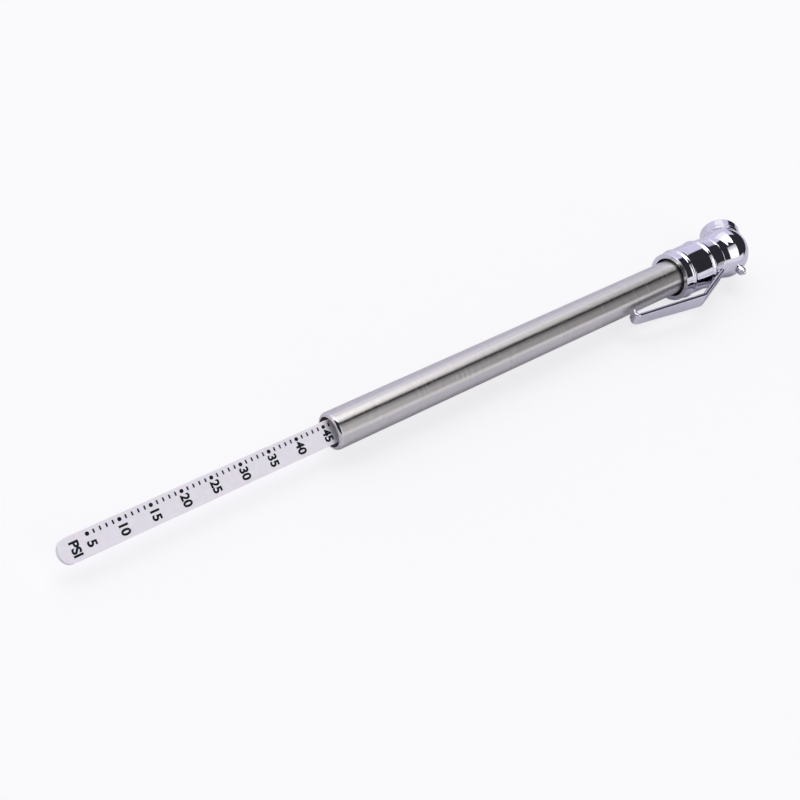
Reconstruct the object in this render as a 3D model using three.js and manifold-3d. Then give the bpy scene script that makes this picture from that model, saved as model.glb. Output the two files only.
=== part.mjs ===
// Pencil-type tyre pressure gauge, lying on its side with its indicator bar out.
//
// Units are millimetres. The gauge is built along its tube: x runs from the open mouth of the
// tube (x = 0) to the head, +y is the side that the chuck faces, -y is the side of the pocket
// clip and the deflator pin, and z is up. At the end the whole gauge is shifted so that the
// origin is the middle of its bounding box's bottom face.
import * as THREE from 'three';
import * as BufferGeometryUtils from 'three/addons/utils/BufferGeometryUtils.js';
import Module from 'manifold-3d';

const wasm = await Module();
wasm.setup();

// ---------------------------------------------------------------- driving dimensions (mm)
const ROUND = 32; // sides of a full turn on the large round pieces
const ROUND_SMALL = 20; // and on the small ones

const TUBE_R = 4.75;
const TUBE_BORE_R = 4.25;
const TUBE_END = 122.8; // the far end, inside the collar
const LIP_R = 3.85; // the rolled-in lip at the mouth
const LIP_ROUND = 0.9;

const RIM_X = 117.0; // where the collar's rim crosses the tube
const COLLAR_R = 6.72;
const COLLAR_BORE_R = 5.45;
const COLLAR_END = 127.2;
const BEAD_1_X = 120.2;
const BEAD_2_X = 128.5;
const BEAD_HEIGHT = 0.36;
const BEAD_WIDTH = 0.85;
const WAIST_SWELL = 0.14; // how much the collar widens past its first bead

const FERRULE = { start: 118.9, end: 122.5, r: 5.25, bore: 4.9 };

const CLIP_RING = { start: 127.5, end: 132.6, endR: 6.45 };
const CLIP_THICK = 1.1;
const CLIP_ROOT = [130.9, -6.65]; // points on the middle line of the bent strip
const CLIP_BEND = [119.25, -11.05];
const CLIP_TIP = [95.75, -7.75];
const CLIP_FOOT = [97.15, -5.35];
const CLIP_WIDTH = 4.6; // as far as the bend
const CLIP_TIP_WIDTH = 3.5;
const CLIP_ROOT_PLAY = 0.3; // between the strip's edges and the ring's pocket for it

const SEAT_R = 5.2; // the part of the head that the collar and the clip ring sit on
const SEAT_START = 123.1;
const SPIGOT_R = 4.05; // the part of the head inside the tube
const SPIGOT_START = 113.5;
const SEAL_GROOVE = { start: 115.2, end: 117.4, r: 2.85 };
const SEAL_CORD = { x: 116.3, meanR: 3.5, r: 0.6 };
const NECK_START = 133.0;
const NECK_R = 6.35;
const BALL_X = 139.7;
const BALL_R = 7.1;

const CHUCK_LEAN = 39; // degrees that the chuck leans away from the tube's square
const CHUCK_BOSS_R = 5.8;
const CHUCK_RING = { back: 5.9, face: 8.5, r: 5.65 }; // distances from the ball's centre
const SOCKET_R = 4.15; // takes a 7.7 mm valve stem
const RIM_SEAT = { r: 4.85, end: 8.0 }; // the part of the boss that the rim is pressed on
const RIM_BORE_R = 5.05;
const SEAL_BED = { bottom: 2.4, top: 4.2, r: 4.75 };
const CHUCK_SEAL = { bottom: 2.6, top: 4.0, r: 4.5, bore: 1.7 };
const CORE_BED = { bottom: 1.2, r: 2.6 }; // holds the flange of the valve pin
const AIR_POCKET = { bottom: -0.3, r: 1.8 };
const AIR_PASSAGE_R = 1.1;
const VALVE_PIN = { base: 1.35, tip: 5.3, r: 0.75, flangeR: 2.4 };

const PIN_X = 139.1; // the deflator pin, square to the tube on the clip's side
const PIN_END = 9.4; // distances from the tube's middle line
const PIN_HOLE = { bottom: 3.4, r: 1.0 };

const BAR_TURN = 32; // degrees that the bar's printed face is turned from +z towards the clip
const BAR_WIDTH = 5.9;
const BAR_THICK = 1.6;
const BAR_TIP_X = -69.8;
const BAR_TIP_DEPTH = 2.4; // how far the rounded tip stands past the straight edges
const BAR_END_X = 35.4;
const TANG_WIDTH = 3.9;
const TANG_LENGTH = 2.8;

const GUIDE = { start: 1.5, web: 1.95, end: 8.6, r: 4.15, bore: 3.6 };
const SLOT_PLAY = 0.22; // on each side of the bar
const LEAF = { start: 5.8, end: 8.6, foot: -2.25, peak: -0.12, width: 2.6 };
const FOOT_R = 3.15;
const FOOT_STEP = 0.3; // how far the foot stands past the end of the bar

const SPRING_START = 9.6;
const SPRING_END = 36.7;
const SPRING_WIRE = 0.6;
const SPRING_MEAN_R = 3.68;
const SPRING_TURNS = 27;

const PISTON_X = 36.0; // the front face of the piston, just behind the bar's foot
const PISTON_R = 4.0;
const SCREW_R = 0.85;
const FRONT_SEAT = { start: 8.9, end: 9.3, r: 4.1, bore: 3.35 };
const REAR_SEAT = { start: PISTON_X + 0.95, end: PISTON_X + 1.35, r: 4.05, bore: 3.25 };
const SPREADER = { start: PISTON_X + 6.2, end: PISTON_X + 6.6, r: 2.95, bore: 1.15 };

// ---------------------------------------------------------------- materials
function finish(color, roughness, metalness) {
  return () => new THREE.MeshStandardMaterial({ color, roughness, metalness });
}
const chrome = finish(0xd9d9e0, 0.06, 1);
const stainless = finish(0xaaa6a8, 0.32, 1);
const springSteel = finish(0x8d8f94, 0.3, 1);
const brass = finish(0xb89255, 0.3, 1);
const whitePlastic = finish(0xe6e4ec, 0.45, 0);
const blackPlastic = finish(0x18181a, 0.5, 0);
const rubber = finish(0x151515, 0.85, 0);

// ---------------------------------------------------------------- solids
// A closed manifold solid from any closed three.js geometry.
function solid(geometry) {
  const bare = geometry.clone();
  bare.deleteAttribute('normal');
  bare.deleteAttribute('uv');
  const merged = BufferGeometryUtils.mergeVertices(bare, 1e-4);
  const points = merged.attributes.position.array;
  const faces = [];
  let volume = 0;
  for (let i = 0; i < merged.index.count; i += 3) {
    const [a, b, c] = [0, 1, 2].map((k) => merged.index.getX(i + k));
    if (a === b || b === c || c === a) continue;
    faces.push(a, b, c);
    const [p, q, r] = [a, b, c].map((k) => new THREE.Vector3().fromArray(points, 3 * k));
    volume += p.dot(q.cross(r));
  }
  if (volume < 0) faces.reverse();
  return new wasm.Manifold(new wasm.Mesh({
    numProp: 3,
    vertProperties: new Float32Array(points),
    triVerts: new Uint32Array(faces),
  }));
}

function geometryOf(manifold) {
  const mesh = manifold.getMesh();
  const geometry = new THREE.BufferGeometry();
  geometry.setAttribute('position', new THREE.BufferAttribute(mesh.vertProperties, 3));
  geometry.setIndex(new THREE.BufferAttribute(mesh.triVerts, 1));
  return geometry;
}

// A turned piece: the outline is a list of [x, radius] pairs, spun about the x axis. It starts
// and ends on the axis, or it is closed for a piece with a bore.
function turned(outline, sides = ROUND) {
  const onAxis = outline[0][1] === 0;
  const closed = onAxis ? outline : [...outline, outline[0]];
  const profile = closed.map(([x, r]) => new THREE.Vector2(r, x));
  return solid(new THREE.LatheGeometry(profile, sides).rotateZ(-Math.PI / 2));
}

function washer({ start, end, r, bore }) {
  return turned([[start, bore], [start, r], [end, r], [end, bore]]);
}

function rod(start, end, radius, sides = ROUND) {
  return turned([[start, 0], [start, radius], [end, radius], [end, 0]], sides);
}

// A flat outline in x and y with a thickness in z, centred on z = 0.
function plate(shape, thickness, curveSegments = 8) {
  const options = { depth: thickness, bevelEnabled: false, curveSegments };
  return solid(new THREE.ExtrudeGeometry(shape, options).translate(0, 0, -thickness / 2));
}

function block(from, to) {
  const size = to.map((v, i) => v - from[i]);
  const middle = to.map((v, i) => (v + from[i]) / 2);
  return solid(new THREE.BoxGeometry(...size).translate(...middle));
}

// Points of an arc about [x, r], from one angle to another in degrees from +x.
function arc(x, r, radius, from, to, steps) {
  return Array.from({ length: steps + 1 }, (_, i) => {
    const angle = THREE.MathUtils.degToRad(from + ((to - from) * i) / steps);
    return [x + radius * Math.cos(angle), Math.max(0, r + radius * Math.sin(angle))];
  });
}

// Moves a solid whose axis is x so that it starts at the given point along the given direction.
function aimed(manifold, [x, y], direction) {
  const turn = new THREE.Quaternion().setFromUnitVectors(new THREE.Vector3(1, 0, 0), direction);
  const matrix = new THREE.Matrix4().makeRotationFromQuaternion(turn).setPosition(x, y, 0);
  return solid(geometryOf(manifold).applyMatrix4(matrix));
}

const chuckAngle = THREE.MathUtils.degToRad(CHUCK_LEAN);
const chuckDirection = new THREE.Vector3(Math.sin(chuckAngle), Math.cos(chuckAngle), 0);
const alongChuck = (manifold) => aimed(manifold, [BALL_X, 0], chuckDirection);
const pinDirection = new THREE.Vector3(0, -1, 0);

const barTurn = THREE.MathUtils.degToRad(BAR_TURN);
const turnedWithBar = (manifold) => solid(geometryOf(manifold).rotateX(barTurn));

// ---------------------------------------------------------------- tube and its mouth
// Stainless tube with its mouth rolled in to keep the guide from leaving.
function bodyTube() {
  const lip = arc(LIP_ROUND, TUBE_R - LIP_ROUND, LIP_ROUND, 90, 180, 4);
  return turned([
    [TUBE_END, TUBE_R],
    ...lip,
    [0.15, LIP_R],
    [0.65, LIP_R],
    [1.2, TUBE_BORE_R],
    [TUBE_END, TUBE_BORE_R],
  ]);
}

// Moulded guide: a skirt that rests against the lip, and a web with the bar's slot.
function guideBushing() {
  const body = turned([
    [GUIDE.start, GUIDE.bore],
    [GUIDE.start, GUIDE.r],
    [GUIDE.end, GUIDE.r],
    [GUIDE.end, 0],
    [GUIDE.web, 0],
    [GUIDE.web, GUIDE.bore],
    [GUIDE.start, GUIDE.bore],
  ]);
  const [wide, high] = [BAR_WIDTH / 2 + SLOT_PLAY, BAR_THICK / 2 + SLOT_PLAY];
  const slot = block([GUIDE.web - 1, -wide, -high], [GUIDE.end + 1, wide, high]);
  const leafSide = LEAF.width / 2 + 0.4;
  const leafPocket = block([LEAF.start - 0.4, -leafSide, LEAF.foot - 0.25], [GUIDE.end + 1, leafSide, 0]);
  return turnedWithBar(body.subtract(slot).subtract(leafPocket));
}

// Bowed leaf of spring steel in the guide, which rubs on the back of the bar and holds it out.
function frictionLeaf() {
  const { start, end, foot, peak, width } = LEAF;
  const middle = (start + end) / 2;
  const bow = new THREE.Shape();
  bow.moveTo(start, foot);
  bow.quadraticCurveTo(middle, peak, end, foot);
  bow.lineTo(end - 0.2, foot - 0.13);
  bow.quadraticCurveTo(middle, peak - 0.38, start + 0.2, foot - 0.13);
  bow.closePath();
  const geometry = geometryOf(plate(bow, width)).rotateX(Math.PI / 2);
  return turnedWithBar(solid(geometry));
}

// ---------------------------------------------------------------- indicator bar
function indicatorBar() {
  const half = BAR_WIDTH / 2;
  const shoulder = BAR_END_X - TANG_LENGTH;
  const tipStart = BAR_TIP_X + BAR_TIP_DEPTH;
  const outline = new THREE.Shape();
  outline.moveTo(tipStart, half);
  outline.absellipse(tipStart, 0, BAR_TIP_DEPTH, half, Math.PI / 2, (3 * Math.PI) / 2, false, 0);
  outline.lineTo(shoulder, -half);
  outline.lineTo(shoulder, -TANG_WIDTH / 2);
  outline.lineTo(BAR_END_X, -TANG_WIDTH / 2);
  outline.lineTo(BAR_END_X, TANG_WIDTH / 2);
  outline.lineTo(shoulder, TANG_WIDTH / 2);
  outline.lineTo(shoulder, half);
  outline.closePath();
  return turnedWithBar(plate(outline, BAR_THICK, 12));
}

// Round foot pressed on the bar's tang: it is too large for the guide's slot.
function barFoot() {
  const [start, end] = [BAR_END_X - TANG_LENGTH + FOOT_STEP, BAR_END_X + FOOT_STEP];
  const [wide, high] = [TANG_WIDTH / 2 + 0.2, BAR_THICK / 2 + 0.15];
  const hole = block([start - 1, -wide, -high], [end + 1, wide, high]);
  return turnedWithBar(rod(start, end, FOOT_R, ROUND_SMALL).subtract(hole));
}

// ---------------------------------------------------------------- spring and piston
class Helix extends THREE.Curve {
  getPoint(t, target = new THREE.Vector3()) {
    const angle = 2 * Math.PI * SPRING_TURNS * t;
    const half = SPRING_WIRE / 2;
    const x = THREE.MathUtils.lerp(SPRING_START + half, SPRING_END - half, t);
    return target.set(x, SPRING_MEAN_R * Math.cos(angle), SPRING_MEAN_R * Math.sin(angle));
  }
}

function calibratedSpring() {
  const section = new THREE.Shape().absarc(0, 0, SPRING_WIRE / 2, 0, 2 * Math.PI);
  return solid(new THREE.ExtrudeGeometry(section, {
    steps: SPRING_TURNS * 8,
    curveSegments: 3,
    bevelEnabled: false,
    extrudePath: new Helix(),
  }));
}

// A front boss inside the spring's end, a flange that slides in the tube, and a stem for the cup.
function pistonBody() {
  const x = PISTON_X;
  const [bossR, stemR, threadR] = [3.0, 1.5, 1.05];
  return turned([
    [x, 0],
    [x, bossR - 0.2],
    [x + 0.2, bossR],
    [x + 1.6, bossR],
    [x + 1.6, PISTON_R],
    [x + 3.2, PISTON_R],
    [x + 3.2, stemR],
    [x + 5.9, stemR],
    [x + 5.9, threadR],
    [x + 3.5, threadR],
    [x + 3.5, 0],
  ], ROUND_SMALL);
}

// Rubber cup with its lip towards the head, where the air comes in.
function cupSeal() {
  const x = PISTON_X;
  const [boreR, lipR] = [1.75, 4.15];
  return turned([
    [x + 3.5, boreR],
    [x + 3.5, 3.7],
    [x + 4.0, PISTON_R],
    [x + 6.5, PISTON_R],
    [x + 7.9, lipR],
    [x + 8.0, 3.8],
    [x + 6.5, 3.3],
    [x + 5.2, 3.1],
    [x + 5.2, boreR],
  ], 28);
}

// Slotted screw that holds the cup and its spreader on the piston.
function pistonScrew() {
  const x = PISTON_X;
  const headR = 1.9;
  const screw = turned([
    [x + 3.8, 0],
    [x + 3.8, SCREW_R],
    [x + 6.9, SCREW_R],
    [x + 6.9, headR],
    [x + 7.5, headR],
    [x + 8.0, headR - 0.6],
    [x + 8.0, 0],
  ], ROUND_SMALL);
  return screw.subtract(block([x + 7.6, -2, -0.25], [x + 9, 2, 0.25]));
}

// ---------------------------------------------------------------- collar, clip and joint
const bead = (x, middle) => BEAD_HEIGHT * Math.exp(-(((x - middle) / BEAD_WIDTH) ** 2));

// Collar sleeve with a rolled bead and a shallow waist.
function collarSleeve() {
  const steps = 14;
  const wall = Array.from({ length: steps + 1 }, (_, i) => {
    const x = THREE.MathUtils.lerp(RIM_X + 0.35, COLLAR_END - 0.15, i / steps);
    const swell = WAIST_SWELL * THREE.MathUtils.smoothstep(x, BEAD_1_X, COLLAR_END);
    return [x, COLLAR_R + swell + bead(x, BEAD_1_X)];
  });
  return turned([
    [RIM_X, COLLAR_BORE_R + 0.1],
    [RIM_X, COLLAR_R - 0.2],
    ...wall,
    [COLLAR_END, COLLAR_R],
    [COLLAR_END, COLLAR_BORE_R],
    [RIM_X + 0.1, COLLAR_BORE_R],
  ]);
}

// Brass ferrule that grips the tube's end on the head's spigot.
function tubeFerrule() {
  const { start, end, r, bore } = FERRULE;
  return turned([[start, bore], [start, r - 0.15], [start + 0.4, r], [end, r], [end, bore]]);
}

// Band of the clip, clamped on the head, with a pocket for the root of the bent strip.
function clipRing() {
  const { start, end, endR } = CLIP_RING;
  const steps = 10;
  const wall = Array.from({ length: steps + 1 }, (_, i) => {
    const x = THREE.MathUtils.lerp(start + 0.1, end - 0.25, i / steps);
    return [x, THREE.MathUtils.lerp(COLLAR_R + 0.1, endR, i / steps) + bead(x, BEAD_2_X)];
  });
  const band = turned([
    [start, COLLAR_BORE_R],
    [start, COLLAR_R],
    ...wall,
    [end, endR - 0.25],
    [end, COLLAR_BORE_R],
  ]);
  const side = CLIP_WIDTH / 2 + CLIP_ROOT_PLAY;
  return band.subtract(block([start - 1, -9, -side], [end - 1.1, -5.8, side]));
}

// The bent strip of the clip: out from the ring, back along the tube, and in at its tip.
function clipArm() {
  const line = [CLIP_ROOT, CLIP_BEND, CLIP_TIP, CLIP_FOOT].map(([x, y]) => new THREE.Vector2(x, y));
  const half = CLIP_THICK / 2;
  const left = [];
  const right = [];
  line.forEach((point, i) => {
    const into = i > 0 ? point.clone().sub(line[i - 1]).normalize() : null;
    const out = i < line.length - 1 ? line[i + 1].clone().sub(point).normalize() : null;
    const along = (into ?? out).clone().add(out ?? into).normalize();
    const across = new THREE.Vector2(-along.y, along.x);
    const stretch = half / Math.abs(across.dot(new THREE.Vector2(-(into ?? out).y, (into ?? out).x)));
    left.push(point.clone().addScaledVector(across, stretch));
    right.unshift(point.clone().addScaledVector(across, -stretch));
  });
  const bent = plate(new THREE.Shape([...left, ...right]), CLIP_WIDTH);
  const [wide, narrow] = [CLIP_WIDTH / 2, CLIP_TIP_WIDTH / 2];
  const [rootX, bendX, tipX] = [CLIP_ROOT[0] + 2, CLIP_BEND[0], CLIP_TIP[0] - 2];
  const plan = new THREE.Shape([
    [tipX, -narrow], [bendX, -wide - 0.01], [rootX, -wide - 0.01],
    [rootX, wide + 0.01], [bendX, wide + 0.01], [tipX, narrow],
  ].map(([x, z]) => new THREE.Vector2(x, z)));
  const tapered = solid(geometryOf(plate(plan, 40)).rotateX(Math.PI / 2));
  return bent.intersect(tapered);
}

// ---------------------------------------------------------------- head and chuck
function headCasting() {
  const neckAngle = 180 - THREE.MathUtils.radToDeg(Math.asin(NECK_R / BALL_R));
  const body = turned([
    [SPIGOT_START, 0],
    [SPIGOT_START, SPIGOT_R - 0.4],
    [SPIGOT_START + 0.4, SPIGOT_R],
    [SEAL_GROOVE.start, SPIGOT_R],
    [SEAL_GROOVE.start, SEAL_GROOVE.r],
    [SEAL_GROOVE.end, SEAL_GROOVE.r],
    [SEAL_GROOVE.end, SPIGOT_R],
    [SEAT_START, SPIGOT_R],
    [SEAT_START, SEAT_R],
    [NECK_START, SEAT_R],
    [NECK_START, 5.8],
    [NECK_START + 0.6, NECK_R - 0.05],
    ...arc(BALL_X, 0, BALL_R, neckAngle, 0, 14),
  ]);
  const bossEnd = CHUCK_RING.back - 0.2;
  const boss = alongChuck(turned([
    [0, 0],
    [0, CHUCK_BOSS_R],
    [bossEnd, CHUCK_BOSS_R],
    [bossEnd, RIM_SEAT.r],
    [RIM_SEAT.end, RIM_SEAT.r],
    [RIM_SEAT.end, 0],
  ]));
  const socket = alongChuck(turned([
    [AIR_POCKET.bottom, 0],
    [AIR_POCKET.bottom, AIR_POCKET.r],
    [CORE_BED.bottom, AIR_POCKET.r],
    [CORE_BED.bottom, CORE_BED.r],
    [SEAL_BED.bottom, CORE_BED.r],
    [SEAL_BED.bottom, SEAL_BED.r],
    [SEAL_BED.top, SEAL_BED.r],
    [SEAL_BED.top, SOCKET_R],
    [RIM_SEAT.end + 1, SOCKET_R],
    [RIM_SEAT.end + 1, 0],
  ]));
  const airPassage = rod(SPIGOT_START - 1, BALL_X, AIR_PASSAGE_R, 12);
  const pinHole = aimed(rod(PIN_HOLE.bottom, BALL_R + 1, PIN_HOLE.r, 16), [PIN_X, 0], pinDirection);
  return body.add(boss).subtract(socket).subtract(airPassage).subtract(pinHole);
}

// Rim pressed on the boss, with a rounded edge and a chamfered mouth.
function chuckRing() {
  const { back, face, r } = CHUCK_RING;
  return alongChuck(turned([
    [back, RIM_BORE_R],
    [back, r - 0.25],
    [back + 0.3, r],
    [face - 0.45, r],
    [face, r - 0.4],
    [face, SOCKET_R + 0.15],
    [face - 0.2, SOCKET_R],
    [face - 0.45, SOCKET_R],
    [face - 0.45, RIM_BORE_R],
  ]));
}

// Rubber washer that the mouth of the tyre's valve stem is pressed on.
function chuckSeal() {
  const { bottom, top, r, bore } = CHUCK_SEAL;
  return alongChuck(turned([[bottom, bore], [bottom, r], [top, r], [top, bore + 0.7], [top - 0.4, bore]]));
}

// Brass pin that opens the tyre's valve core. Air passes its three-cornered flange.
function valvePin() {
  const { base, tip, r, flangeR } = VALVE_PIN;
  const pin = turned([[base, 0], [base, r], [tip - 0.3, r], [tip, r - 0.3], [tip, 0]], 12);
  return alongChuck(rod(base, base + 0.75, flangeR, 3).add(pin));
}

// Stem in the head, a rounded button outside it, and a thin nib that presses a valve core.
function deflatorPin() {
  const [stemR, buttonR, nibR] = [0.8, 1.25, 0.45];
  const pin = turned([
    [PIN_HOLE.bottom + 0.2, 0],
    [PIN_HOLE.bottom + 0.2, stemR],
    [7.4, stemR],
    [7.45, buttonR - 0.2],
    [7.65, buttonR],
    [PIN_END - 0.8, buttonR],
    [PIN_END - 0.5, buttonR - 0.3],
    [PIN_END - 0.5, nibR],
    [PIN_END, nibR],
    [PIN_END, 0],
  ], 16);
  return aimed(pin, [PIN_X, 0], pinDirection);
}

// Round cord seal in the spigot's groove.
function tubeSealRing() {
  return turned(arc(SEAL_CORD.x, SEAL_CORD.meanR, SEAL_CORD.r, 0, 315, 7));
}

// ---------------------------------------------------------------- assembly
const pieces = [
  ['body_tube', bodyTube(), stainless],
  ['guide_bushing', guideBushing(), blackPlastic],
  ['friction_leaf', frictionLeaf(), springSteel],
  ['spring_seat_front', washer(FRONT_SEAT), springSteel],
  ['calibrated_spring', calibratedSpring(), springSteel],
  ['spring_seat_rear', washer(REAR_SEAT), springSteel],
  ['piston_body', pistonBody(), brass],
  ['cup_seal', cupSeal(), rubber],
  ['seal_spreader', washer(SPREADER), springSteel],
  ['piston_screw', pistonScrew(), brass],
  ['indicator_bar', indicatorBar(), whitePlastic],
  ['bar_foot', barFoot(), blackPlastic],
  ['collar_sleeve', collarSleeve(), chrome],
  ['tube_ferrule', tubeFerrule(), brass],
  ['clip_ring', clipRing(), chrome],
  ['clip_arm', clipArm(), chrome],
  ['tube_seal_ring', tubeSealRing(), rubber],
  ['head_casting', headCasting(), chrome],
  ['chuck_ring', chuckRing(), chrome],
  ['chuck_seal', chuckSeal(), rubber],
  ['valve_pin', valvePin(), brass],
  ['deflator_pin', deflatorPin(), chrome],
];

const gauge = new THREE.Group();
for (const [name, manifold, material] of pieces) {
  const mesh = new THREE.Mesh(geometryOf(manifold), material());
  mesh.name = name;
  gauge.add(mesh);
}

// The origin is the middle of the bounding box's bottom face.
const box = new THREE.Box3().setFromObject(gauge);
const middle = box.getCenter(new THREE.Vector3());
gauge.position.set(-middle.x, -middle.y, -box.min.z);

const tyrePressureGauge = new THREE.Group();
tyrePressureGauge.add(gauge);
export default tyrePressureGauge;
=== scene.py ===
"""The looks of a pencil-type tire pressure gauge, lying on its side with its indicator bar out.

Sizes are in millimetres along the gauge: x runs from the tube's open mouth towards the head, +y is
the side that the chuck faces, -y is the side of the pocket clip, and z is up. at() turns such a
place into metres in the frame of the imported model.
"""

import math

import bmesh
import bpy
from mathutils import Matrix, Vector


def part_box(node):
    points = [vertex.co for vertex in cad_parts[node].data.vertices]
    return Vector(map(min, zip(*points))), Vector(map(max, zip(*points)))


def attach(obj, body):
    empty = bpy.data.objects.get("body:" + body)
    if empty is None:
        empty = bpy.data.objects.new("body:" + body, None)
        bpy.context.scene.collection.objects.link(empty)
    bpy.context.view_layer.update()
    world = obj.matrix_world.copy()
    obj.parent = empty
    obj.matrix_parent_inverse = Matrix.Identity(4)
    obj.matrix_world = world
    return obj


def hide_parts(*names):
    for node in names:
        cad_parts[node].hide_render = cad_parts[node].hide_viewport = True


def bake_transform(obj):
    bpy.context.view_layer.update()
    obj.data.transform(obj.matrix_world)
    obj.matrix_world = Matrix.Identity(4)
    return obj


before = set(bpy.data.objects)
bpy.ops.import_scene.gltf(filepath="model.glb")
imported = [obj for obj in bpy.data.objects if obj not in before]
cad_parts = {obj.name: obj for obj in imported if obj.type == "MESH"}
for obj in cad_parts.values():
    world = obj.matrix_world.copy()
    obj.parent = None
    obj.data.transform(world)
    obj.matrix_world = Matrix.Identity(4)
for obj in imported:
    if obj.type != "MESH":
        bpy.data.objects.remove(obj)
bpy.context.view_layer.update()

MM = 0.001
X, Y, Z = Vector((1, 0, 0)), Vector((0, 1, 0)), Vector((0, 0, 1))

tube_low, tube_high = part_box("body_tube")
MOUTH = Vector((tube_low.x, (tube_low.y + tube_high.y) / 2, (tube_low.z + tube_high.z) / 2))

# ---------------------------------------------------------------- sizes (mm)
TUBE_R = (tube_high.z - tube_low.z) / 2 / MM
TUBE_END = (tube_high.x - tube_low.x) / MM
TUBE_BORE_R = 4.25
LIP_R = 3.85
LIP_ROUND = 0.9
LIP_BORE_START = 0.06
LIP_POLISH_START = 102  # where on the lip's rounding the polish starts, in degrees

RIM_X = 117.0
COLLAR_R = 6.72
COLLAR_BORE_R = 5.45
COLLAR_END = 127.42
BEAD_1_X = 120.2
BEAD_2_X = 128.5
BEAD_HEIGHT = 0.34
BEAD_WIDTH = 0.5
WAIST_SWELL = 0.14
SEAM_GAP = 0.05  # between the collar and the clip band
SEAM_R = COLLAR_R + 0.05  # their radius at the seam
BAND_START_R = COLLAR_R + 0.1
BAND_END = 132.7
BAND_END_R = 6.45

NECK_START = 133.0
NECK_R = 6.35
NECK_ROOT_R = 5.95
SEAT_R = 5.2
SEAT_START = 123.1
SEAT_END = NECK_START - 0.2
SPIGOT_R = 4.05
SPIGOT_START = 113.5
SEAL_GROOVE_START = 115.2
SEAL_GROOVE_END = 117.4
SEAL_GROOVE_R = 2.85
BALL_X = 139.7
BALL_R = 7.1

CHUCK_LEAN = math.radians(39)  # of the chuck's axis, from +y towards +x

# Along the chuck's axis, from the middle of the ball.
CHUCK_BOSS_R = 5.78
BOSS_END = 5.7
BOSS_GROOVE_DEPTH = 0.3
BOSS_GROOVE_WIDTH = 0.28
NOSE_END = 8.0  # the nose carries the ring
NOSE_R = 4.85
CHUCK_RING_R = 5.6
CHUCK_RING_BORE_R = 4.87
CHUCK_RING_ROUND = 0.65
CHUCK_RING_BACK = 5.85
CHUCK_RING_LEDGE = 0.45
CHUCK_FACE = 8.5
SOCKET_R = 4.15
SOCKET_MOUTH_R = 4.25
WASHER_BED = 2.4
WASHER_BED_END = 4.2
WASHER_BED_R = 4.75
WASHER_BACK = 2.5
WASHER_FACE = 4.1
WASHER_R = 4.6
WASHER_BORE_R = 1.7
WASHER_DISH = 3.6  # how far out its face is at the bore
WASHER_DISH_R = 2.5
CORE_BED = 1.2
CORE_BED_R = 2.6
CORE_FLANGE = 1.35
CORE_FLANGE_END = 2.1
CORE_FLANGE_R = 2.3
CORE_STEM_R = 0.75
CORE_TIP = 5.05
CORE_TIP_END = 5.3
CORE_TIP_R = 0.42
AIR_POCKET = -0.3
AIR_POCKET_R = 1.8

PIN_X = 139.1

# Along the pin, from the tube's middle line towards the clip's side.
PIN_ROOT = 3.6
PIN_SHANK_R = 0.8
PIN_HEAD = 7.0
PIN_HEAD_END = 8.55
PIN_HEAD_R = 1.25
PIN_STEP = 8.6
PIN_STEP_END = 8.9
PIN_STEP_R = 0.98
PIN_NIB_R = 0.45
PIN_END = 9.4

CLIP_LINE = [(131.9, -6.28), (119.25, -11.05), (95.75, -7.75), (97.15, -5.35)]
CLIP_BEND_ROUND = 1.6
CLIP_TIP_ROUND = 0.75
CLIP_THICK = 1.05
CLIP_WIDTH = 4.6
CLIP_TIP_WIDTH = 3.5
CLIP_EDGE_ROUND = 0.36

BAR_TURN = math.radians(32)
BAR_WIDTH = 5.9
BAR_THICK = 1.6
BAR_EDGE_ROUND = 0.14
BAR_TIP_X = -69.8
BAR_TIP_DEPTH = 2.4
BAR_END_X = 35.4
TANG_WIDTH = 3.9
TANG_LENGTH = 2.8

SCALE_FIRST_X = -62.5  # the dot of 5 psi
SCALE_STEP = 7.65  # from one dot to the next, 5 psi
SCALE_STEP_PSI = 5
SCALE_MARKS = 10
SCALE_SIDE = 1.7  # the dots' distance from the bar's middle line
DOT_R = 0.47
TICK_LENGTH = 0.92
TICK_THICK = 0.38
NUMBER_SHIFT = 0.1  # towards the head, from the number's dot
NUMBER_SIDE = -0.6
UNIT_X = SCALE_FIRST_X - 3.6
UNIT_SIDE = -0.25
DIGIT_HEIGHT = 2.25
DIGIT_WIDTH = 1.55
DIGIT_BOLD = 0.036  # as a share of the letters' own size
PRINT_HEIGHT = 0.015

GUIDE_R = 4.15
GUIDE_START = 1.5
GUIDE_WEB = 1.95  # the bottom of the recess in its front
GUIDE_RECESS_R = 3.6
GUIDE_END = 8.6
GUIDE_SLOT_PLAY = 0.44

SPRING_START = 9.6
SPRING_END = 36.7
SPRING_WIRE = 0.6
SPRING_MEAN_R = 3.68
SPRING_TURNS = 27

VISIBLE_SIDES = 160  # of the large turned pieces that are seen

CHUCK_AXIS = Vector((math.sin(CHUCK_LEAN), math.cos(CHUCK_LEAN), 0))


def at(x, y=0.0, z=0.0):
    """A place on the gauge, in metres in the model's frame."""
    return MOUTH + Vector((x, y, z)) * MM


# ---------------------------------------------------------------- outlines
def arc(centre_x, centre_r, radius, start, end, steps):
    """Points of an arc in the plane of an outline, from one angle in degrees to another."""
    points = []
    for i in range(steps + 1):
        angle = math.radians(start + (end - start) * i / steps)
        points.append((centre_x + radius * math.cos(angle), centre_r + radius * math.sin(angle)))
    return points


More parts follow.
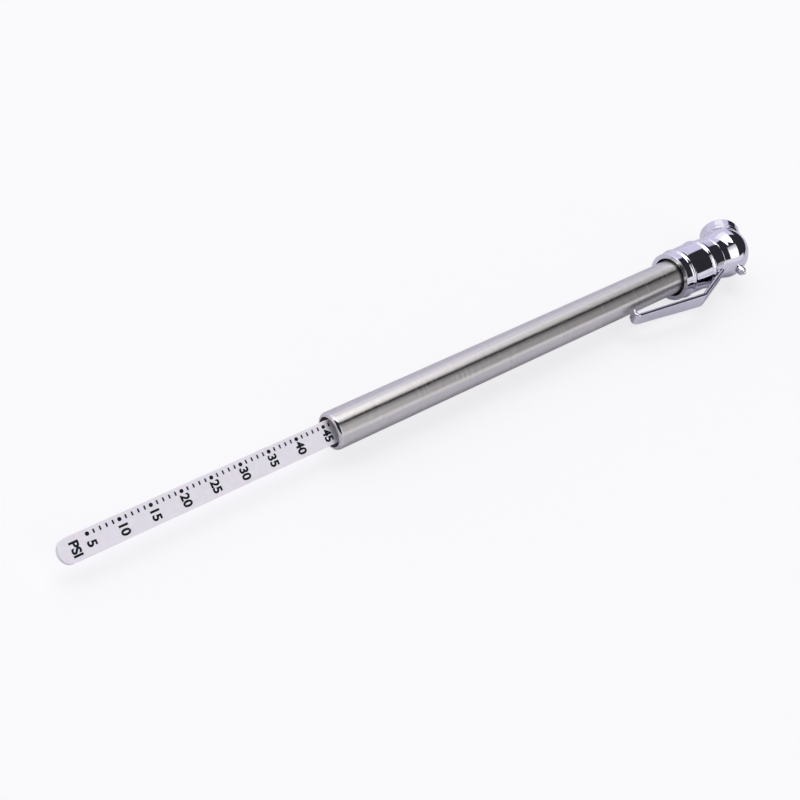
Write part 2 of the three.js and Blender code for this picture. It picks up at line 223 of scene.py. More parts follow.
def rounded(corners, closed):
    """The outline with its corners rounded. A corner is (x, r) or (x, r, radius of rounding).

    A support point just beyond each rounding keeps the shading of the straight parts straight.
    """
    points = []
    count = len(corners)
    for i, corner in enumerate(corners):
        here = Vector(corner[:2])
        radius = corner[2] if len(corner) > 2 else 0
        if not radius or (not closed and i in (0, count - 1)):
            points.append(here)
            continue
        back = Vector(corners[i - 1][:2]) - here
        ahead = Vector(corners[(i + 1) % count][:2]) - here
        half = back.angle(ahead) / 2
        reach = min(radius / math.tan(half), 0.45 * back.length, 0.45 * ahead.length)
        radius = reach * math.tan(half)
        start = here + back.normalized() * reach
        inward = (back.normalized() + ahead.normalized()).normalized()
        middle = here + inward * radius / math.sin(half)
        turn = (start - middle).angle_signed(here + ahead.normalized() * reach - middle)
        support = min(0.05, 0.04 * back.length, 0.04 * ahead.length)
        points.append(start + back.normalized() * support)
        steps = max(3, math.ceil(abs(math.degrees(turn)) / 12))
        for k in range(steps + 1):
            points.append(middle + Matrix.Rotation(-turn * k / steps, 2) @ (start - middle))
        points.append(here + ahead.normalized() * (reach + support))
    return points


# ---------------------------------------------------------------- meshes
def smooth_object(name, mesh_maker, sharp=38):
    """An object from a bmesh, smooth except at edges sharper than the given angle."""
    bmesh.ops.remove_doubles(mesh_maker, verts=mesh_maker.verts, dist=1e-7)
    bmesh.ops.recalc_face_normals(mesh_maker, faces=mesh_maker.faces)
    for edge in mesh_maker.edges:
        edge.smooth = edge.calc_face_angle(0) < math.radians(sharp)
    for face in mesh_maker.faces:
        face.smooth = True
    mesh = bpy.data.meshes.new(name)
    mesh_maker.to_mesh(mesh)
    mesh_maker.free()
    piece = bpy.data.objects.new(name, mesh)
    bpy.context.scene.collection.objects.link(piece)
    return piece


def skin(mesh_maker, loops):
    """Joins loops of equal length, one to the next, and closes both ends."""
    for one, other in zip(loops, loops[1:]):
        for i in range(len(one)):
            after = (i + 1) % len(one)
            mesh_maker.faces.new([one[i], one[after], other[after], other[i]])
    mesh_maker.faces.new(loops[0])
    mesh_maker.faces.new(loops[-1])


def turned(name, corners, sides=VISIBLE_SIDES, start=MOUTH, along=X):
    """A turned solid. Its outline is in (distance along the axis, radius), in mm.

    The outline starts and ends on the axis, or it is closed for a piece with a bore.
    """
    mesh_maker = bmesh.new()
    on_axis = corners[0][1] == 0
    outline = rounded(corners, closed=not on_axis)
    across = along.cross(Z).normalized()
    up = across.cross(along)
    loops = []
    for distance, radius in outline:
        if radius < 1e-6:
            loops.append([mesh_maker.verts.new(start + along * distance * MM)])
            continue
        loop = []
        for i in range(sides):
            angle = 2 * math.pi * i / sides
            out = across * math.cos(angle) + up * math.sin(angle)
            loop.append(mesh_maker.verts.new(start + (along * distance + out * radius) * MM))
        loops.append(loop)
    if not on_axis:
        loops.append(loops[0])
    for one, other in zip(loops, loops[1:]):
        for i in range(sides):
            corner_verts = [one[i % len(one)], one[(i + 1) % len(one)]]
            corner_verts += [other[(i + 1) % len(other)], other[i % len(other)]]
            face_verts = list(dict.fromkeys(corner_verts))
            if len(face_verts) > 2:
                mesh_maker.faces.new(face_verts)
    return smooth_object(name, mesh_maker)


def along_chuck(name, corners, sides=VISIBLE_SIDES):
    return turned(name, corners, sides, at(BALL_X), CHUCK_AXIS)


def joined(base, other, operation):
    """base with other joined to it or cut from it. other is used up."""
    modifier = base.modifiers.new("join", "BOOLEAN")
    modifier.operation = operation
    modifier.solver = "EXACT"
    modifier.object = other
    graph = bpy.context.evaluated_depsgraph_get()
    mesh = bpy.data.meshes.new_from_object(base.evaluated_get(graph))
    name = base.name
    bpy.data.objects.remove(other)
    bpy.data.objects.remove(base)
    mesh_maker = bmesh.new()
    mesh_maker.from_mesh(mesh)
    return smooth_object(name, mesh_maker)


def weighted_normals(piece):
    """Keeps flat faces flat in their shading beside narrow rounded edges."""
    modifier = piece.modifiers.new("normals", "WEIGHTED_NORMAL")
    modifier.keep_sharp = True
    modifier.weight = 100
    return piece


def with_bar(mesh_maker):
    """Puts a mesh made about the bar's own middle line, in mm, into its place in the model."""
    turn = Matrix.Rotation(BAR_TURN, 4, "X")
    bmesh.ops.transform(mesh_maker, verts=mesh_maker.verts, matrix=turn)
    bmesh.ops.scale(mesh_maker, verts=mesh_maker.verts, vec=(MM, MM, MM))
    bmesh.ops.translate(mesh_maker, verts=mesh_maker.verts, vec=MOUTH)


# ---------------------------------------------------------------- materials
NOISE_LOW, NOISE_HIGH = 0.3, 0.7  # nearly all of a noise is between these


def surface(name, shades, roughness, grain, relief, metallic=0.0, detail=3.0, **constants):
    """A procedural finish.

    shades are two colours that a noise mixes, roughness is its low and high value, grain is the
    size of the noise in mm along each axis, and relief is the height in mm of its bumps.
    """
    made = bpy.data.materials.new(name)
    made.use_nodes = True
    nodes, links = made.node_tree.nodes, made.node_tree.links
    shader = nodes["Principled BSDF"]
    shader.inputs["Metallic"].default_value = metallic
    for socket, value in constants.items():
        shader.inputs[socket.replace("_", " ")].default_value = value

    place = nodes.new("ShaderNodeTexCoord")
    spread = nodes.new("ShaderNodeMapping")
    spread.inputs["Scale"].default_value = [1 / (size * MM) for size in grain]
    links.new(place.outputs["Object"], spread.inputs["Vector"])

    noise = nodes.new("ShaderNodeTexNoise")
    noise.inputs["Scale"].default_value = 1.0
    noise.inputs["Detail"].default_value = detail
    links.new(spread.outputs["Vector"], noise.inputs["Vector"])

    ramp = nodes.new("ShaderNodeValToRGB")
    ramp.color_ramp.elements[0].position = NOISE_LOW
    ramp.color_ramp.elements[1].position = NOISE_HIGH
    for stop, shade in zip(ramp.color_ramp.elements, shades):
        stop.color = (*shade, 1)
    links.new(noise.outputs["Fac"], ramp.inputs["Fac"])
    links.new(ramp.outputs["Color"], shader.inputs["Base Color"])

    gloss = nodes.new("ShaderNodeMapRange")
    gloss.inputs["From Min"].default_value = NOISE_LOW
    gloss.inputs["From Max"].default_value = NOISE_HIGH
    gloss.inputs["To Min"].default_value = roughness[0]
    gloss.inputs["To Max"].default_value = roughness[1]
    links.new(noise.outputs["Fac"], gloss.inputs["Value"])
    links.new(gloss.outputs["Result"], shader.inputs["Roughness"])

    bump = nodes.new("ShaderNodeBump")
    bump.inputs["Distance"].default_value = relief * MM
    links.new(noise.outputs["Fac"], bump.inputs["Height"])
    links.new(bump.outputs["Normal"], shader.inputs["Normal"])
    return made


def brushed(made, axis):
    """Makes a metal's gloss spread along the given axis, as fine rings round a tube do."""
    nodes, links = made.node_tree.nodes, made.node_tree.links
    shader = nodes["Principled BSDF"]
    shader.inputs["Anisotropic"].default_value = 0.97
    shader.inputs["Anisotropic Rotation"].default_value = 0.25
    tangent = nodes.new("ShaderNodeTangent")
    tangent.direction_type = "RADIAL"
    tangent.axis = axis
    links.new(tangent.outputs["Tangent"], shader.inputs["Tangent"])


CHROME = surface(
    "chrome", [(0.80, 0.80, 0.85), (0.86, 0.86, 0.90)], (0.03, 0.07), (2.2, 2.2, 2.2), 0.0006, 1.0)
STAINLESS = surface(
    "stainless", [(0.71, 0.70, 0.665), (0.74, 0.73, 0.695)], (0.255, 0.275), (0.12, 9, 9), 0.00005,
    1.0)
brushed(STAINLESS, "X")
POLISHED_STAINLESS = surface(
    "polished_stainless", [(0.70, 0.69, 0.66), (0.77, 0.76, 0.73)], (0.1, 0.16), (1.5, 1.5, 1.5),
    0.0006, 1.0)
SPRING_STEEL = surface(
    "spring_steel", [(0.42, 0.43, 0.45), (0.55, 0.56, 0.58)], (0.2, 0.35), (0.6, 0.6, 0.6), 0.002,
    1.0)
# Brass darkened nearly to black: painted shade for the gap between the collar and the tube, where
# the ferrule shows.
BRASS_PAINTED_SHADE = surface(
    "brass_painted_shade", [(0.06, 0.05, 0.035), (0.16, 0.12, 0.07)], (0.4, 0.6), (0.4, 0.4, 0.4), 0.003,
    1.0)
BRASS = surface(
    "brass", [(0.62, 0.45, 0.2), (0.75, 0.58, 0.3)], (0.22, 0.34), (0.12, 1.5, 1.5), 0.002, 1.0)
WHITE_PLASTIC = surface(
    "white_plastic", [(0.90, 0.885, 0.93), (0.94, 0.925, 0.96)], (0.36, 0.48), (1.3, 1.3, 1.3),
    0.0015, Subsurface_Weight=0.12, Subsurface_Scale=0.0006)
INK = surface(
    "ink", [(0.004, 0.004, 0.006), (0.015, 0.015, 0.018)], (0.5, 0.7), (0.25, 0.25, 0.25), 0.001,
    Specular_IOR_Level=0.2)
BLACK_PLASTIC = surface(
    "black_plastic", [(0.012, 0.012, 0.014), (0.03, 0.03, 0.032)], (0.4, 0.6), (0.3, 0.3, 0.3),
    0.004)
RUBBER = surface(
    "rubber", [(0.012, 0.012, 0.012), (0.03, 0.03, 0.03)], (0.7, 0.9), (0.2, 0.2, 0.2), 0.008)


def show(piece, made, body, slot, *nodes):
    """Gives a piece its finish and its body, in place of the CAD nodes named."""
    piece.data.materials.clear()
    piece.data.materials.append(made)
    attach(piece, body)
    if nodes:
        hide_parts(*nodes)
    return piece


# ---------------------------------------------------------------- tube and guide
def tube_shell():
    """The tube without its polished lip, which starts where this outline does."""
    shoulder = arc(LIP_ROUND, TUBE_R - LIP_ROUND, LIP_ROUND, LIP_POLISH_START, 90, 4)
    support = LIP_ROUND + 0.3  # keeps the shading of the straight part straight
    outline = [(shoulder[0][0], TUBE_BORE_R), *shoulder, (support, TUBE_R)]
    outline += [(TUBE_END, TUBE_R, 0.1), (TUBE_END, TUBE_BORE_R)]
    return turned("tube_shell", outline)


def tube_lip():
    """The mouth's rolled-in edge, polished by the roller."""
    wall = TUBE_R - TUBE_BORE_R
    lip = arc(LIP_ROUND, TUBE_R - LIP_ROUND, LIP_ROUND, LIP_POLISH_START, 180, 12)
    outline = [(lip[0][0], TUBE_BORE_R), *lip, (LIP_BORE_START, LIP_R, 0.05), (wall, LIP_R, 0.1)]
    return turned("tube_lip", outline)


def guide():
    """The black bushing behind the lip, recessed in front, with the bar's slot through it."""
    outline = [(GUIDE_WEB, 0), (GUIDE_WEB, GUIDE_RECESS_R, 0.1), (GUIDE_START, GUIDE_RECESS_R)]
    outline += [(GUIDE_START, GUIDE_R, 0.1), (GUIDE_END, GUIDE_R, 0.2), (GUIDE_END, 0)]
    piece = turned("guide_sleeve", outline, 96)
    slot = bmesh.new()
    bmesh.ops.create_cube(slot, size=1)
    length = GUIDE_END - GUIDE_START + 1  # cuts through both ends
    opening = (length, BAR_WIDTH + GUIDE_SLOT_PLAY, BAR_THICK + GUIDE_SLOT_PLAY)
    bmesh.ops.scale(slot, verts=slot.verts, vec=opening)
    bmesh.ops.translate(slot, verts=slot.verts, vec=((GUIDE_START + GUIDE_END) / 2, 0, 0))
    with_bar(slot)
    return joined(piece, smooth_object("slot", slot), "DIFFERENCE")


show(tube_shell(), STAINLESS, "gauge_body", "stainless", "body_tube")
show(tube_lip(), POLISHED_STAINLESS, "gauge_body", "stainless")
show(guide(), BLACK_PLASTIC, "gauge_body", "black_plastic", "guide_bushing")


# ---------------------------------------------------------------- indicator bar and its scale
def scale_bar():
    """The flat bar, with half an oval for its tip and a narrow tang for its foot."""
    half = BAR_WIDTH / 2
    tip_steps = 24
    tip_start = BAR_TIP_X + BAR_TIP_DEPTH
    shoulder = BAR_END_X - TANG_LENGTH
    outline = [(shoulder, half), (tip_start, half)]
    for i in range(1, tip_steps):
        angle = math.pi / 2 + math.pi * i / tip_steps
        outline.append((tip_start + BAR_TIP_DEPTH * math.cos(angle), half * math.sin(angle)))
    outline += [(tip_start, -half), (shoulder, -half)]
    tang = TANG_WIDTH / 2
    outline += [(shoulder, -tang), (BAR_END_X, -tang), (BAR_END_X, tang), (shoulder, tang)]
    mesh_maker = bmesh.new()
    flat = mesh_maker.faces.new([mesh_maker.verts.new((x, y, -BAR_THICK / 2)) for x, y in outline])
    raised = bmesh.ops.extrude_face_region(mesh_maker, geom=[flat])["geom"]
    moved = [v for v in raised if isinstance(v, bmesh.types.BMVert)]
    bmesh.ops.translate(mesh_maker, verts=moved, vec=(0, 0, BAR_THICK))
    rims = [e for e in mesh_maker.edges if abs(e.verts[0].co.z - e.verts[1].co.z) < 1e-6]
    bmesh.ops.bevel(
        mesh_maker, geom=rims, offset=BAR_EDGE_ROUND, segments=4, profile=0.5, affect="EDGES")
    with_bar(mesh_maker)
    return weighted_normals(smooth_object("scale_bar", mesh_maker))


def letters_mesh(words):
    """The words in Blender's own font, of any size and depth: printed_text() scales them."""
    letters = bpy.data.curves.new("letters", "FONT")
    letters.body = words
    letters.align_x = "CENTER"
    letters.align_y = "CENTER"
    letters.offset = DIGIT_BOLD
    letters.resolution_u = 6
    letters.extrude = 0.5
    holder = bpy.data.objects.new("letters", letters)
    bpy.context.scene.collection.objects.link(holder)
    graph = bpy.context.evaluated_depsgraph_get()
    mesh = bpy.data.meshes.new_from_object(holder.evaluated_get(graph))
    bpy.data.objects.remove(holder)
    return mesh


def extent(mesh, axis):
    """How far the mesh reaches along an axis."""
    places = [v.co[axis] for v in mesh.vertices]
    return max(places) - min(places)


def printed_text(mesh_maker, words, x, side):
    """Adds a raised word across the bar, its top towards the head."""
    digit, mesh = letters_mesh("0"), letters_mesh(words)
    sizes = (DIGIT_WIDTH, DIGIT_HEIGHT, 2 * PRINT_HEIGHT)
    fit = Matrix.Diagonal([size / extent(digit, axis) for axis, size in enumerate(sizes)] + [1])
    across = Matrix(((0, 1, 0, x), (-1, 0, 0, side), (0, 0, 1, BAR_THICK / 2), (0, 0, 0, 1)))
    mesh.transform(across @ fit)
    mesh_maker.from_mesh(mesh)


def printed_tick(mesh_maker, x):
    made = bmesh.ops.create_cube(mesh_maker, size=1)["verts"]
    bmesh.ops.scale(mesh_maker, verts=made, vec=(TICK_THICK, TICK_LENGTH, PRINT_HEIGHT * 2))
    bmesh.ops.translate(mesh_maker, verts=made, vec=(x, SCALE_SIDE, BAR_THICK / 2))


def printed_dot(mesh_maker, x):
    made = bmesh.ops.create_cone(
        mesh_maker, cap_ends=True, segments=28, radius1=DOT_R, radius2=DOT_R,
        depth=PRINT_HEIGHT * 2)["verts"]
    bmesh.ops.translate(mesh_maker, verts=made, vec=(x, SCALE_SIDE, BAR_THICK / 2))


def scale_print():
    """The unit, and a dot and a number each 5 psi with a tick for each psi between them."""
    ink = bmesh.new()
    printed_text(ink, "PSI", UNIT_X, UNIT_SIDE)
    for i in range(SCALE_MARKS):
        x = SCALE_FIRST_X + i * SCALE_STEP
        number = str(SCALE_STEP_PSI * (i + 1))
        printed_dot(ink, x)
        printed_text(ink, number, x + NUMBER_SHIFT, NUMBER_SIDE)
        if i < SCALE_MARKS - 1:
            for k in range(1, SCALE_STEP_PSI):
                printed_tick(ink, x + k * SCALE_STEP / SCALE_STEP_PSI)
    with_bar(ink)
    return smooth_object("scale_print", ink, sharp=20)


show(scale_bar(), WHITE_PLASTIC, "indicator", "white_plastic", "indicator_bar")
show(scale_print(), INK, "indicator", "black_plastic")


# ---------------------------------------------------------------- collar and clip
def bead(x, middle):
    """The height at x of a rolled bead."""
    return BEAD_HEIGHT * math.exp(-(((x - middle) / BEAD_WIDTH) ** 2))


def collar():
    """The sleeve over the tube's end. Its waist swells from its bead to the seam."""
    steps = 60
    start, length = RIM_X + 0.4, COLLAR_END - RIM_X - 0.5
    wall = []
    for i in range(steps + 1):
        x = start + length * i / steps
        share = min(1, max(0, (x - BEAD_1_X) / (COLLAR_END - BEAD_1_X)))
        swell = WAIST_SWELL * share * share * (3 - 2 * share)
        wall.append((x, COLLAR_R + swell + bead(x, BEAD_1_X)))
    outline = [(RIM_X, COLLAR_BORE_R, 0.12), (RIM_X, COLLAR_R, 0.26), *wall]
    outline += [(COLLAR_END, SEAM_R), (COLLAR_END, COLLAR_BORE_R)]
    return turned("collar", outline)


def clip_band():
    """The ring that carries the clip, narrowing from the seam to the head."""
    steps = 44
    start = COLLAR_END + SEAM_GAP
    wall_start, wall_length = start + 0.08, BAND_END - start - 0.3
    wall = []
    for i in range(steps + 1):
        share = i / steps
        x = wall_start + wall_length * share
        wall.append((x, BAND_START_R + (BAND_END_R - BAND_START_R) * share + bead(x, BEAD_2_X)))
    outline = [(start, COLLAR_BORE_R), (start, SEAM_R), *wall]
    outline += [(BAND_END, BAND_END_R - 0.25), (BAND_END, COLLAR_BORE_R)]
    return turned("clip_band", outline)


def clip_strip():
    """The bent strip: out from the band, back along the tube, and in at its tip."""
    roundings = [0, CLIP_BEND_ROUND, CLIP_TIP_ROUND, 0]
    corners = [(*point, radius) for point, radius in zip(CLIP_LINE, roundings)]
    line = rounded(corners, closed=False)
    bend_x, tip_x = CLIP_LINE[1][0], CLIP_LINE[2][0]
    edge = CLIP_EDGE_ROUND
    bevel_part = 0.3  # how far along the tip's bevel its middle loop is
    loops = []
    mesh_maker = bmesh.new()

    def add_loop(point, side, shrink):
        share = min(1, max(0, (bend_x - point.x) / (bend_x - tip_x)))
        half_width = (CLIP_WIDTH + (CLIP_TIP_WIDTH - CLIP_WIDTH) * share) / 2 - shrink
        half_thick = CLIP_THICK / 2 - shrink
        quarters = ((-1, -1), (1, -1), (1, 1), (-1, 1))
        section = [(s * half_width, t * half_thick, edge) for s, t in quarters]
        loop = []
        for across, out in rounded(section, closed=True):
            place = point + side * out
            loop.append(mesh_maker.verts.new(at(place.x, place.y, across)))
        loops.append(loop)

    for i, point in enumerate(line):
        back = point - line[i - 1] if i else line[1] - line[0]
        ahead = line[i + 1] - point if i < len(line) - 1 else back
        along = (back.normalized() + ahead.normalized()).normalized()
        side = Vector((-along.y, along.x))
        if i == len(line) - 1:
            add_loop(point - along * edge, side, 0)
            add_loop(point - along * edge * bevel_part, side, edge * bevel_part)
            add_loop(point, side, edge)
        else:
            add_loop(point, side, 0)
    skin(mesh_maker, loops)
    return weighted_normals(smooth_object("clip_strip", mesh_maker))


show(collar(), CHROME, "gauge_body", "chrome", "collar_sleeve")
show(clip_band(), CHROME, "gauge_body", "chrome", "clip_ring")
strip = clip_strip()
strip.data.materials.append(CHROME)
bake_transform(strip)
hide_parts("clip_arm")


# ---------------------------------------------------------------- head and chuck
def head():
    """Ball and boss turned about the chuck's axis, with the neck and spigot joined to them."""
    boss_angle = math.degrees(math.asin(CHUCK_BOSS_R / BALL_R))
    crease = 1.5  # degrees of the ball left out before the boss's groove
    ball = arc(0, 0, BALL_R, 180, boss_angle + crease, 72)
    ball[0] = (-BALL_R, 0)
    boss_start = BALL_R * math.cos(math.radians(boss_angle))
    groove_end, groove_r = boss_start + BOSS_GROOVE_WIDTH, CHUCK_BOSS_R - BOSS_GROOVE_DEPTH
    outline = [*ball, (boss_start, groove_r), (groove_end, groove_r)]
    outline += [(groove_end, CHUCK_BOSS_R, 0.1), (BOSS_END, CHUCK_BOSS_R, 0.2), (BOSS_END, NOSE_R)]
    outline += [(NOSE_END, NOSE_R), (NOSE_END, SOCKET_R), (WASHER_BED_END, SOCKET_R)]
    outline += [(WASHER_BED_END, WASHER_BED_R), (WASHER_BED, WASHER_BED_R)]
    outline += [(WASHER_BED, CORE_BED_R), (CORE_BED, CORE_BED_R), (CORE_BED, AIR_POCKET_R)]
    outline += [(AIR_POCKET, AIR_POCKET_R), (AIR_POCKET, 0)]
    piece = along_chuck("head", outline)
    neck_meets_ball = BALL_X - math.sqrt(BALL_R**2 - NECK_R**2)
    neck = [(SPIGOT_START, 0), (SPIGOT_START, SPIGOT_R, 0.4), (SEAL_GROOVE_START, SPIGOT_R)]
    neck += [(SEAL_GROOVE_START, SEAL_GROOVE_R), (SEAL_GROOVE_END, SEAL_GROOVE_R)]
    neck += [(SEAL_GROOVE_END, SPIGOT_R), (SEAT_START, SPIGOT_R), (SEAT_START, SEAT_R)]
    neck += [(SEAT_END, SEAT_R), (SEAT_END, NECK_ROOT_R), (NECK_START + 0.25, NECK_R - 0.05, 0.3)]
    neck += [(neck_meets_ball + 0.6, NECK_R + 0.02), (neck_meets_ball + 1.2, 0)]
    return joined(piece, turned("neck", neck), "UNION")


def chuck_rim():
    """The turned ring pressed on the nose, with a ledge over the nose's end."""
    ledge = CHUCK_FACE - CHUCK_RING_LEDGE
    outline = [(CHUCK_RING_BACK, CHUCK_RING_BORE_R), (CHUCK_RING_BACK, CHUCK_RING_R, 0.15)]
    outline += [(CHUCK_FACE, CHUCK_RING_R, CHUCK_RING_ROUND), (CHUCK_FACE, SOCKET_MOUTH_R, 0.15)]
    outline += [(ledge, SOCKET_R, 0.1), (ledge, CHUCK_RING_BORE_R)]
    return along_chuck("chuck_rim", outline)


def chuck_washer():
    """The rubber that a valve stem presses on, dished about its bore."""
    outline = [(WASHER_BACK, WASHER_BORE_R), (WASHER_BACK, WASHER_R), (WASHER_FACE, WASHER_R, 0.1)]
    outline += [(WASHER_FACE, WASHER_DISH_R, 0.35), (WASHER_DISH, WASHER_BORE_R, 0.15)]
    return along_chuck("chuck_washer", outline, 128)


def core_pin():
    """The pin that opens the tire's valve core, on a flange behind the washer."""
    outline = [(CORE_FLANGE, 0), (CORE_FLANGE, CORE_FLANGE_R, 0.1)]
    outline += [(CORE_FLANGE_END, CORE_FLANGE_R, 0.1), (CORE_FLANGE_END, CORE_STEM_R, 0.2)]
    outline += [(CORE_TIP, CORE_STEM_R, 0.15), (CORE_TIP_END, CORE_TIP_R, 0.1), (CORE_TIP_END, 0)]
    return along_chuck("core_pin", outline, 48)


def bleed_pin():
    """The deflator pin on the head's side: a shank in the ball, a head, a step and a nib."""
    outline = [(PIN_ROOT, 0), (PIN_ROOT, PIN_SHANK_R), (PIN_HEAD, PIN_SHANK_R)]
    outline += [(PIN_HEAD, PIN_HEAD_R, 0.1), (PIN_HEAD_END, PIN_HEAD_R, 0.2)]
    outline += [(PIN_STEP, PIN_STEP_R, 0.05), (PIN_STEP_END, PIN_STEP_R, 0.12)]
    outline += [(PIN_STEP_END, PIN_NIB_R, 0.06), (PIN_END, PIN_NIB_R, 0.18), (PIN_END, 0)]
    return turned("bleed_pin", outline, 64, at(PIN_X), -Y)


show(head(), CHROME, "gauge_body", "chrome", "head_casting")
show(chuck_rim(), CHROME, "gauge_body", "chrome", "chuck_ring")
show(chuck_washer(), RUBBER, "gauge_body", "rubber", "chuck_seal")
show(core_pin(), BRASS, "gauge_body", "brass", "valve_pin")
show(bleed_pin(), CHROME, "gauge_body", "chrome", "deflator_pin")


# ---------------------------------------------------------------- spring
def spring():
    """The calibrated spring, an open coil from the guide to the piston."""
    steps = SPRING_TURNS * 24
    sides = 10
    half = SPRING_WIRE / 2
    mesh_maker = bmesh.new()
    loops = []
    for i in range(steps + 1):
        share = i / steps
        angle = 2 * math.pi * SPRING_TURNS * share
        x = SPRING_START + half + (SPRING_END - SPRING_START - SPRING_WIRE) * share
        out = Vector((0, math.cos(angle), math.sin(angle)))
        loop = []
        for k in range(sides):
            turn = 2 * math.pi * k / sides
            place = X * (x + half * math.sin(turn)) + out * (SPRING_MEAN_R + half * math.cos(turn))
            loop.append(mesh_maker.verts.new(MOUTH + place * MM))
        loops.append(loop)
    skin(mesh_maker, loops)
    return smooth_object("spring_coil", mesh_maker)


coil = spring()
coil.data.materials.append(SPRING_STEEL)
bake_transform(coil)
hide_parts("calibrated_spring")

# ---------------------------------------------------------------- inner pieces shown as they are
INNER = {
    "friction_leaf": SPRING_STEEL,
    "spring_seat_front": SPRING_STEEL,
    "spring_seat_rear": SPRING_STEEL,
    "seal_spreader": SPRING_STEEL,
    "piston_body": BRASS,
    "piston_screw": BRASS,
    # the ferrule gets brass darkened nearly to black, as painted shade for the collar's gap
    "tube_ferrule": BRASS_PAINTED_SHADE,
    "cup_seal": RUBBER,
    "tube_seal_ring": RUBBER,
    "bar_foot": BLACK_PLASTIC,
}
for node, made in INNER.items():
    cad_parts[node].material_slots[0].material = made


# ---------------------------------------------------------------- floor, light and camera
def floor():
    """A plain pale floor that glows a little, so that the gauge's own shadow stays faint.

    The metal mirrors it a little darker than it is seen.
    """
    seen_shade, glow = (0.24, 0.24, 0.242, 1), (0.74, 0.74, 0.745, 1)
    mirrored_shade = (0.70, 0.69, 0.76, 1)
    half_side = 3  # in metres
    mesh_maker = bmesh.new()
    bmesh.ops.create_grid(mesh_maker, x_segments=1, y_segments=1, size=half_side)
    piece = smooth_object("floor", mesh_maker)
    made = bpy.data.materials.new("floor")
    made.use_nodes = True
    nodes, links = made.node_tree.nodes, made.node_tree.links
    seen = nodes["Principled BSDF"]
    mirrored = nodes.new("ShaderNodeBsdfPrincipled")
    for shader, shade in ((seen, seen_shade), (mirrored, mirrored_shade)):
        shader.inputs["Base Color"].default_value = shade
        shader.inputs["Roughness"].default_value = 0.9
        shader.inputs["Specular IOR Level"].default_value = 0.1
    seen.inputs["Emission Color"].default_value = glow
    seen.inputs["Emission Strength"].default_value = 1.0
    path = nodes.new("ShaderNodeLightPath")
    mix = nodes.new("ShaderNodeMixShader")
    links.new(path.outputs["Is Camera Ray"], mix.inputs["Fac"])
    links.new(mirrored.outputs["BSDF"], mix.inputs[1])
    links.new(seen.outputs["BSDF"], mix.inputs[2])
    links.new(mix.outputs["Shader"], nodes["Material Output"].inputs["Surface"])
    piece.data.materials.append(made)


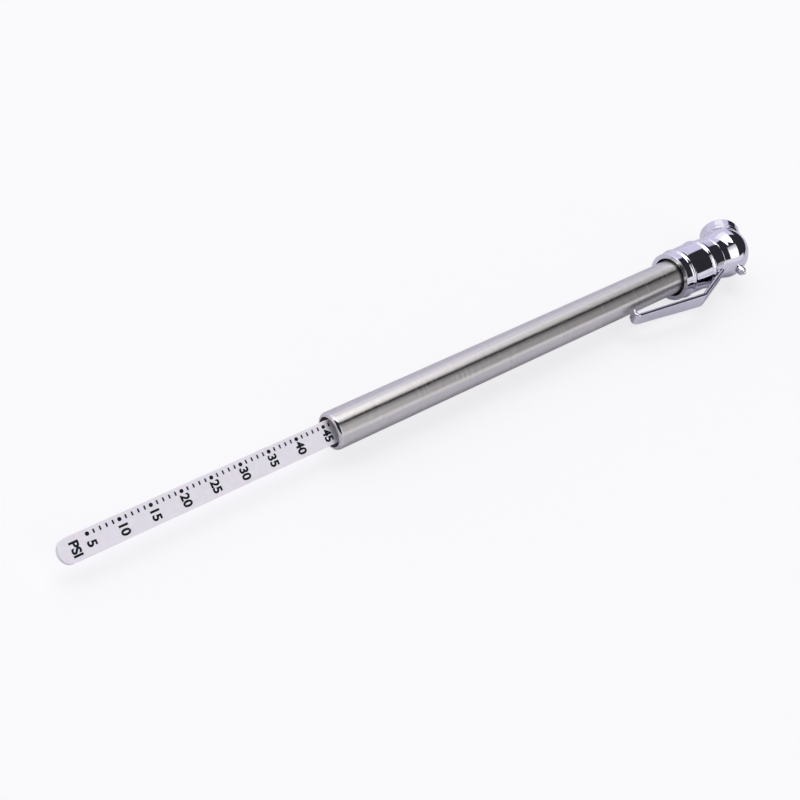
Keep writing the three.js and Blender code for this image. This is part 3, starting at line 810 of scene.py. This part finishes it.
def studio():
    """Light from all round: a large soft box over the gauge, a smaller one beside it, a dark
    ceiling between them and a dark part past the head.

    A direction is read as its share along the tube and as its height, an angle about the tube:
    0 towards +y, 0.5 straight up and 1 towards -y. Matt surfaces get half as much light again as
    the metal mirrors, and the background is seen plain.
    """
    world = bpy.data.worlds.new("studio")
    bpy.context.scene.world = world
    world.use_nodes = True
    nodes, links = world.node_tree.nodes, world.node_tree.links

    def math_node(operation, *values, clamp=False):
        node = nodes.new("ShaderNodeMath")
        node.operation = operation
        node.use_clamp = clamp
        for socket, value in zip(node.inputs, values):
            if isinstance(value, (int, float)):
                socket.default_value = value
            else:
                links.new(value, socket)
        return node.outputs[0]

    def line(slope, value, offset):
        """slope * value + offset"""
        return math_node("MULTIPLY_ADD", value, slope, offset)

    def beyond(value, edge, softness=0.012):
        """1 where value is past the edge and 0 before it, with a soft border."""
        gap = math_node("SUBTRACT", value, edge)
        node = nodes.new("ShaderNodeMapRange")
        node.interpolation_type = "SMOOTHSTEP"
        node.inputs["From Min"].default_value = -softness
        node.inputs["From Max"].default_value = softness
        links.new(gap, node.inputs["Value"])
        return node.outputs["Result"]

    def all_of(*masks):
        """1 where every mask is 1."""
        whole = masks[0]
        for mask in masks[1:]:
            whole = math_node("MULTIPLY", whole, mask)
        return whole

    def mix(share, one, other):
        """one where the share is 0 and other where it is 1. Each is a colour or a socket."""
        node = nodes.new("ShaderNodeMix")
        node.data_type = "RGBA"
        links.new(share, node.inputs["Factor"])
        for socket, value in ((node.inputs["A"], one), (node.inputs["B"], other)):
            socket = [s for s in node.inputs if s.name == socket.name and s.type == "RGBA"][0]
            if isinstance(value, tuple):
                socket.default_value = (*value, 1)
            else:
                links.new(value, socket)
        return [s for s in node.outputs if s.type == "RGBA"][0]

    place = nodes.new("ShaderNodeTexCoord")
    parts = nodes.new("ShaderNodeSeparateXYZ")
    links.new(place.outputs["Generated"], parts.inputs["Vector"])
    along = parts.outputs["X"]
    around = math_node("ARCTAN2", parts.outputs["Z"], parts.outputs["Y"])
    height = math_node("MULTIPLY", around, 1 / math.pi, clamp=True)

    lavender, dark, low = (0.70, 0.675, 0.86), (0.028, 0.027, 0.034), (0.80, 0.785, 0.84)
    key_dim, key_bright = (1.0, 0.98, 1.05), (3.3, 3.2, 3.3)
    side_dim, side_bright = (0.5, 0.49, 0.53), (1.35, 1.3, 1.38)
    background = (0.95, 0.95, 0.955)
    ceiling_start, ceiling_end = 0.33, 0.908
    past_head, above_floor = 0.8, -0.05
    matt_extra = 0.5

    light = mix(beyond(height, ceiling_start), lavender, dark)
    light = mix(beyond(height, ceiling_end), light, low)
    dark_end = all_of(beyond(along, past_head, 0.03), beyond(parts.outputs["Z"], above_floor))
    light = mix(dark_end, light, dark)
    key_box = all_of(
        beyond(height, 0.17, 0.02),
        beyond(line(0.222, along, 0.483), height),
        beyond(line(-0.63, height, 0.70), along),
    )
    light = mix(key_box, light, mix(beyond(height, 0.37, 0.11), key_dim, key_bright))
    side_box = all_of(
        beyond(height, 0.605),
        beyond(line(-1, height, ceiling_end), 0.0),
        beyond(along, -0.12, 0.04),
        beyond(line(-1, along, 0.445), 0.0),
    )
    light = mix(side_box, light, mix(beyond(height, 0.68, 0.08), side_dim, side_bright))
    ray = nodes.new("ShaderNodeLightPath")
    light = mix(ray.outputs["Is Camera Ray"], light, background)
    links.new(light, nodes["Background"].inputs["Color"])
    strength = line(matt_extra, ray.outputs["Is Diffuse Ray"], 1.0)
    links.new(strength, nodes["Background"].inputs["Strength"])


def camera():
    """The photograph's angle: from above, in front of the clip's side, with the picture rolled."""
    azimuth, elevation, roll = math.radians(-48.6), math.radians(46.6), math.radians(15)
    distance = 0.331
    aim = at(21.2)
    flat = math.cos(elevation)
    back = Vector((math.sin(azimuth) * flat, -math.cos(azimuth) * flat, math.sin(elevation)))
    level = Vector((math.cos(azimuth), math.sin(azimuth), 0))
    upright = back.cross(level)
    right = level * math.cos(roll) + upright * math.sin(roll)
    up = back.cross(right)
    data = bpy.data.cameras.new("camera")
    data.sensor_width = 36
    data.lens = 61.65
    data.clip_start = 0.01
    piece = bpy.data.objects.new("camera", data)
    turn = Matrix((right, up, back)).transposed().to_4x4()
    piece.matrix_world = Matrix.Translation(aim + back * distance) @ turn
    bpy.context.scene.collection.objects.link(piece)
    bpy.context.scene.camera = piece


floor()
studio()
camera()
bpy.context.scene.view_settings.view_transform = "Standard"
